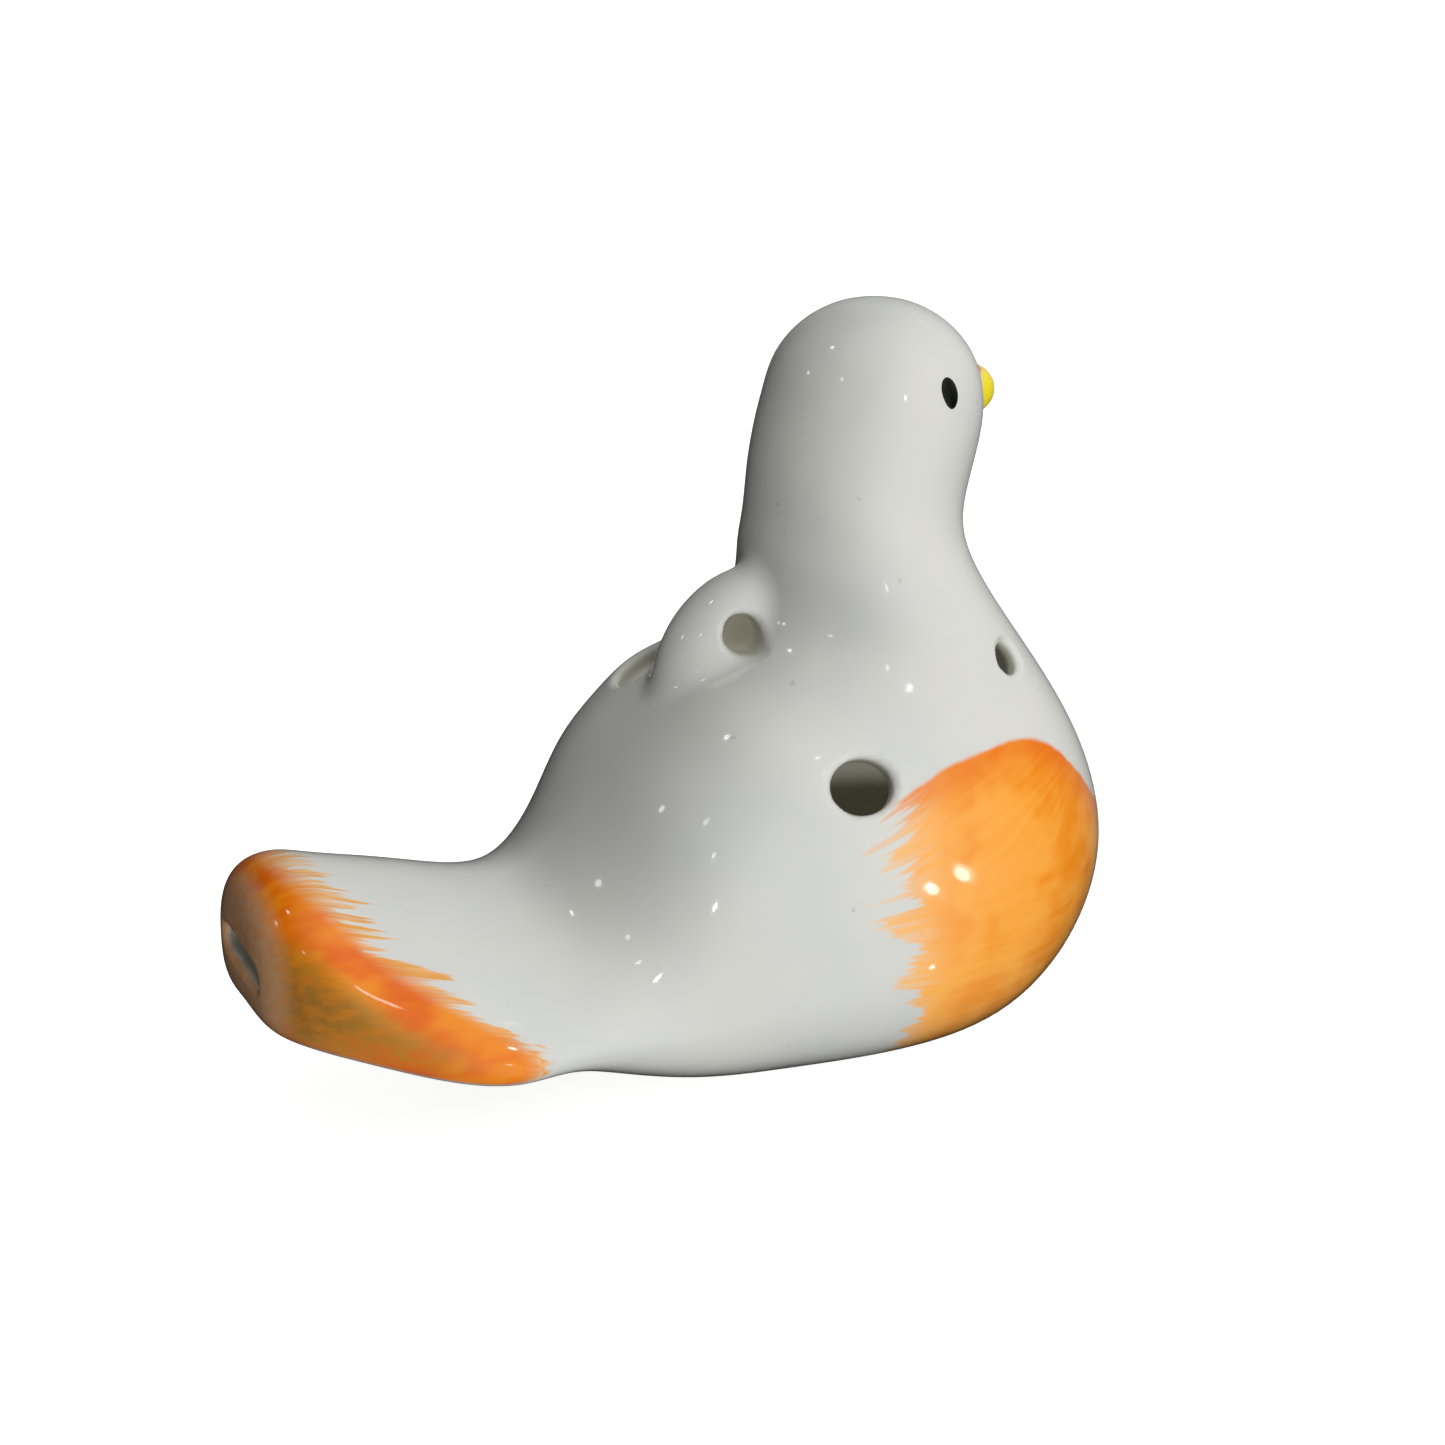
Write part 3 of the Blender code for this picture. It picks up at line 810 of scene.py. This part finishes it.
def breast_paint(paint, base):
    """The orange patch on the breast, with dry brush strokes at its back."""
    x, z = paint.x, paint.z
    back, front = paint.math("MAXIMUM", 36.0 - x, 0.0), paint.math("MAXIMUM", x - 36.0, 0.0)
    arch = 46.4 - back * back * 0.0132 - front * front * 0.042
    top = paint.math("SMOOTH_MAX", arch, 32.0, 8.0)
    wave = (paint.noise((0.25, 0.25, 0.25), 1, 0.5, 2.0) - 0.5) * 1.4
    under = paint.rise(top - z + wave, -0.3, 0.5)
    foot = paint.rise(paint.normal_z, -0.93, -0.80)
    swept = z - (x - 20.0) * paint.rise(z, 24.0, 40.0) * 0.42
    along = paint.vector(x, paint.y, swept)
    strokes = paint.noise((0.03, 0.04, 0.26), 1, 0.5, 11.0, along)
    tufts = paint.noise((0.05, 0.08, 1.0), 1, 0.5, 15.0, along)
    hairs = paint.noise((0.08, 0.15, 3.0), 2, 0.6, 5.0, along)
    ragged = (
        paint.rise(strokes, 0.40, 0.60) * 0.5
        + paint.rise(tufts, 0.36, 0.62) * 0.3
        + paint.rise(hairs, 0.3, 0.7) * 0.2
    )
    low = paint.math("MAXIMUM", 28.0 - z, 0.0)
    tip = low * 0.33 + 10.6
    share = (x - tip) * paint.math("DIVIDE", 1.0, 9.6 - low * 0.24)
    solid = paint.rise(share - ragged, -0.06, 0.14)
    cover = solid * under * foot * on_the_outside(paint)
    inner = paint.rise(share, 0.3, 2.3)
    blotch = paint.rise(paint.noise((0.10, 0.12, 0.13), 2, 0.55, 21.0), 0.38, 0.62)
    streaks = paint.rise(paint.noise((0.05, 0.08, 0.9), 3, 0.65, 31.0, along), 0.38, 0.64)
    rim = paint.rise(top - z, 5.0, 0.3)
    ink = paint.mix(inner, PEACH, LIGHT_ORANGE)
    ink = paint.mix(inner * (0.45 + blotch * 0.55), ink, ORANGE)
    pale = streaks * 0.4 + paint.rise(z, 26.0, 10.0) * 0.4 + paint.rise(share, 2.4, 1.0) * 0.3
    ink = paint.mix(pale, ink, LIGHT_ORANGE)
    ink = paint.mix(rim * 0.5 + blotch * inner * 0.22, ink, DEEP_ORANGE)
    thin = paint.rise(share, 1.5, 0.2) * paint.rise(tufts * 0.5 + hairs * 0.5, 0.60, 0.40)
    return paint.mix(cover * (1.0 - thin * 0.6), base, ink)


def tail_paint(paint, base):
    """Orange brushed over the end of the tail, deepest along its ridge."""
    x, y, z = paint.x, paint.y, paint.z
    away = paint.math("ABSOLUTE", y)
    square = away * away
    ridge = square * 0.02 + square * square * 2.4e-5 - 59.5
    inward = x - ridge
    fan = paint.vector(x, y - inward * y * 0.012, z + inward * 0.22)
    strokes = paint.noise((0.03, 0.42, 0.22), 1, 0.5, 4.0, fan)
    tufts = paint.noise((0.04, 1.2, 0.7), 1, 0.5, 19.0, fan)
    hairs = paint.noise((0.05, 2.8, 1.8), 2, 0.6, 9.0, fan)
    ragged = (
        paint.rise(strokes, 0.34, 0.66) * 0.42
        + paint.rise(tufts, 0.32, 0.68) * 0.33
        + paint.rise(hairs, 0.3, 0.7) * 0.25
    )
    reach = 8.6 - square * away * 0.00026
    cover = paint.rise(reach * ragged + 2.8 - inward, -0.5, 1.0)
    under = paint.rise(paint.normal_z, -0.84, -0.60)
    cover = cover * under * on_the_outside(paint)
    feather = paint.rise(inward, 1.2, 6.0)
    below = paint.rise(inward, -1.6, -4.0)
    low = paint.rise(inward, -2.5, -6.5)
    end = paint.rise(x, -58.0, -60.9)
    blotch = paint.rise(paint.noise((0.10, 0.20, 0.20), 2, 0.6, 14.0), 0.36, 0.64)
    streaks = paint.rise(paint.noise((0.05, 0.55, 0.7), 3, 0.65, 24.0, fan), 0.38, 0.62)
    ink = paint.mix(blotch * 0.8, DEEP_ORANGE, ORANGE)
    ink = paint.mix(below * (0.45 + streaks * 0.5), ink, OCHRE)
    # painted shade: lower down the end of the tail, which faces down and away from the light, the
    # orange is darkened to brown
    ink = paint.mix(low * (0.45 + blotch * 0.30 + streaks * 0.25), ink, BROWN_PAINTED_SHADE)
    ink = paint.mix(paint.rise(inward, -9.0, -14.0) * blotch * 0.6, ink, ORANGE)
    ink = paint.mix(end * (0.7 + streaks * 0.3), ink, PINK_BROWN)
    ink = paint.mix(feather * 0.9, ink, STRAW)
    ink = paint.mix(feather * streaks * 0.5, ink, PEACH)
    thin = feather * paint.rise(tufts * 0.5 + hairs * 0.5, 0.6, 0.42)
    return paint.mix(cover * (1.0 - thin * 0.45), base, ink)


def body_glaze(name, colouring=None):
    """The body's white glaze, with what a colouring paints on it.

    It is dull in the holes. The walls deep inside glow faintly: painted light, an emission that
    brightens the chamber seen through the holes.
    """
    paint = Paint(name, GLAZE_ROUGHNESS, GLAZE_COAT)
    base = white_ground(paint)
    if colouring is not None:
        base = colouring(paint, base)
    paint.colour(base)
    depth = paint.attribute("depth")
    dull = paint.rise(depth, 0.4, 1.4) * 0.4 + GLAZE_ROUGHNESS
    paint.feed(dull, paint.shader.inputs["Roughness"])
    # painted light: the chamber's walls, high up and mostly on the left, glow to brighten what
    # shows through the holes
    painted_inner_light = paint.rise(depth, 1.5, 3.0) * paint.rise(paint.z, 24.5, 28.5)
    painted_inner_light = painted_inner_light * paint.rise(paint.y, -7.0, 9.0) * 0.14
    paint.shader.inputs["Emission Color"].default_value = (1.0, 0.97, 0.84, 1.0)
    paint.feed(painted_inner_light, paint.shader.inputs["Emission Strength"])
    glaze_relief(paint)
    return paint.material


def beak_glaze():
    """Yellow on the beak's tip, white at its root, with a red dab on top of the root."""
    paint = Paint("beak_yellow_glaze", 0.10, GLAZE_COAT)
    wave = (paint.noise((0.7, 0.7, 0.7), 2) - 0.5) * 0.5
    bridge = paint.z * 0.12 + wave
    tip = paint.rise(paint.x - bridge, 32.1, 32.5)
    base = paint.mix(tip, WHITE, YELLOW)
    dab = paint.rise(paint.z, 90.2, 91.0) * paint.rise(paint.x - bridge, 32.7, 32.2)
    paint.colour(paint.mix(dab * 0.8, base, RED))
    glaze_relief(paint)
    return paint.material


def eye_enamel():
    """Black enamel, slightly clouded."""
    paint = Paint("eye_black_enamel", 0.14, 0.2)
    paint.shader.inputs["Specular IOR Level"].default_value = 0.3
    cloud = paint.rise(paint.noise((1.1, 1.1, 1.1), 2), 0.4, 0.8)
    paint.colour(paint.mix(cloud * 0.5, BLACK, WORN_BLACK))
    paint.bump(paint.noise((2.0, 2.0, 2.0), 1), 0.15, 0.1)
    return paint.material


def bare_ceramic():
    """Unglazed, dull and slightly grainy ceramic."""
    paint = Paint("bare_ceramic", 0.62)
    grain = paint.noise((2.5, 2.5, 2.5), 4, 0.6)
    paint.colour(paint.mix(paint.rise(grain, 0.35, 0.7), BISQUE, DARK_BISQUE))
    paint.bump(grain, 0.3, 0.15)
    return paint.material


# ---------------------------------------------------------------- the object


pieces, grown = split_body()
for name, side in (("eye_right", -1), ("eye_left", 1)):
    pieces[name] = eye(name + "_glazed", side, grown)

white = body_glaze("white_glaze", breast_paint)
FINISH = {
    "right_shell": (white, "white_glaze"),
    "left_shell": (white, "white_glaze"),
    "lanyard_lug": (body_glaze("lug_white_glaze"), "white_glaze"),
    "tail_mouthpiece": (body_glaze("tail_orange_glaze", tail_paint), "tail_glaze"),
    "labium": (bare_ceramic(), "bare_ceramic"),
    "beak": (beak_glaze(), "beak_glaze"),
    "eye_right": (eye_enamel(), "eye_enamel"),
    "eye_left": (eye_enamel(), "eye_enamel"),
}
for name, piece in pieces.items():
    material, slot = FINISH[name]
    piece.data.materials.append(material)
    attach(piece, "root")
    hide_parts(name)


# ---------------------------------------------------------------- stage, lights, camera


def stage():
    """A plain pale floor, wide enough to fill the view, just under the object."""
    sides, radius, gap = 96, 14.0, 0.0002
    ring = [
        (radius * math.cos(2 * math.pi * i / sides), radius * math.sin(2 * math.pi * i / sides), 0)
        for i in range(sides)
    ]
    mesh = bpy.data.meshes.new("floor")
    mesh.from_pydata(ring, [], [tuple(range(sides))])
    floor = placed("floor", mesh)
    floor.location.z = cad_box[0][2] - gap
    paint = Paint("pale_floor", 0.8)
    paint.colour((0.60, 0.60, 0.59, 1.0))
    paint.shader.inputs["Specular IOR Level"].default_value = 0.0
    paint.shader.inputs["Emission Color"].default_value = (1.0, 1.0, 0.99, 1.0)
    paint.shader.inputs["Emission Strength"].default_value = 0.78
    floor.data.materials.append(paint.material)
    floor.visible_diffuse = False
    floor.visible_glossy = False


def direction(azimuth, elevation):
    """The way from the object towards an azimuth, 0 at its right side, and an elevation."""
    a, e = math.radians(azimuth), math.radians(elevation)
    return Vector((math.sin(a) * math.cos(e), -math.cos(a) * math.cos(e), math.sin(e)))


# Small lamps for the points of light on the glaze. Each one stands at a distance in metres from
# a point in millimetres, towards an azimuth and an elevation, and has a brightness.
LAMPS = (
    ((6, 0, 46), -60, 34, 1.0, 0.15),
    ((6, 0, 46), -107, 30, 1.0, 0.2),
    ((6, 0, 46), -110, 60, 1.0, 0.3),
    ((25, -14, 90), 9, 17, 0.10, 0.3),
    ((21, -17, 67), -10, 18, 0.03, 0.16),
    ((-7, -26, 31), -33, -3, 0.03, 0.6),
    ((-50, -20, 24), 2, 34, 0.06, 0.25),
    ((-35, -26, 15), 11, -7, 0.05, 0.35),
    ((22.5, -29.9, 29.2), 34, -13, 0.06, 0.5),
    ((27.4, -29.5, 30.4), 38, -10, 0.06, 0.4),
    ((21.8, -30.0, 19.1), 35, -29, 0.02, 0.4),
)


def lamps():
    """The small lamps. Their power and their size grow with their distance."""
    for i, (point, azimuth, elevation, distance, brightness) in enumerate(LAMPS):
        data = bpy.data.lights.new(f"lamp_{i}", "POINT")
        data.energy = brightness * distance**2
        data.shadow_soft_size = 0.03 * distance
        lamp = placed(f"lamp_{i}", data)
        lamp.location = Vector(point) * MM + direction(azimuth, elevation) * distance


# The soft light: broad lobes, each with an azimuth, an elevation, the cosine from its middle
# where it ends, and a brightness.
LOBES = (
    (11, -5, 0.6, 1.74),
    (12, 62, 0.6, 1.45),
    (82, 45, 0.6, 0.95),
    (-26, -55, 0.0, 0.70),
    (132, 22, 0.6, 1.40),
)
AMBIENT = 0.07  # soft light from all round
BACKGROUND = 1.0  # above the horizon, as bright as the floor
SEEN_IN_GLAZE = 0.22  # how much of the soft light shows as a reflection


def sky():
    """Soft light from the lobes, and a plain background."""
    world = bpy.data.worlds.new("studio")
    bpy.context.scene.world = world
    world.use_nodes = True
    nodes, links = world.node_tree.nodes, world.node_tree.links
    way = nodes.new("ShaderNodeTexCoord")
    path = nodes.new("ShaderNodeLightPath")
    total = None
    for azimuth, elevation, end, brightness in LOBES:
        along = nodes.new("ShaderNodeVectorMath")
        along.operation = "DOT_PRODUCT"
        along.inputs[1].default_value = direction(azimuth, elevation)
        links.new(way.outputs["Generated"], along.inputs[0])
        lobe = nodes.new("ShaderNodeMapRange")
        lobe.interpolation_type = "SMOOTHSTEP"
        for value, socket in zip((end, 1.0, 0.0, brightness), list(lobe.inputs)[1:5]):
            socket.default_value = value
        links.new(along.outputs["Value"], lobe.inputs[0])
        added = nodes.new("ShaderNodeMath")
        added.operation = "ADD"
        links.new(lobe.outputs[0], added.inputs[0])
        if total is None:
            added.inputs[1].default_value = AMBIENT
        else:
            links.new(total, added.inputs[1])
        total = added.outputs[0]
    dimmed = nodes.new("ShaderNodeMath")
    dimmed.operation = "MULTIPLY_ADD"
    dimmed.inputs[1].default_value = SEEN_IN_GLAZE - 1.0
    dimmed.inputs[2].default_value = 1.0
    links.new(path.outputs["Is Glossy Ray"], dimmed.inputs[0])
    lit = nodes.new("ShaderNodeMath")
    lit.operation = "MULTIPLY"
    links.new(total, lit.inputs[0])
    links.new(dimmed.outputs[0], lit.inputs[1])
    strength = nodes.new("ShaderNodeMix")
    strength.inputs["B"].default_value = BACKGROUND
    links.new(path.outputs["Is Camera Ray"], strength.inputs["Factor"])
    links.new(lit.outputs[0], strength.inputs["A"])
    background = nodes["Background"]
    background.inputs["Color"].default_value = (1.0, 1.0, 0.985, 1.0)
    links.new(strength.outputs[0], background.inputs["Strength"])


def camera():
    """The camera, a little above the bird and looking at its right side from behind."""
    data = bpy.data.cameras.new("camera")
    data.sensor_width = 36.0
    data.lens = 67.27
    data.clip_start = 0.01
    data.clip_end = 100.0
    view = placed("camera", data)
    target, back, distance = Vector((0.0059, 0.0, 0.046)), direction(-25, 17), 0.36
    view.location = target + back * distance
    view.rotation_mode = "QUATERNION"
    view.rotation_quaternion = (-back).to_track_quat("-Z", "Y")
    bpy.context.scene.camera = view


stage()
lamps()
sky()
camera()
bpy.context.scene.view_settings.view_transform = "Standard"
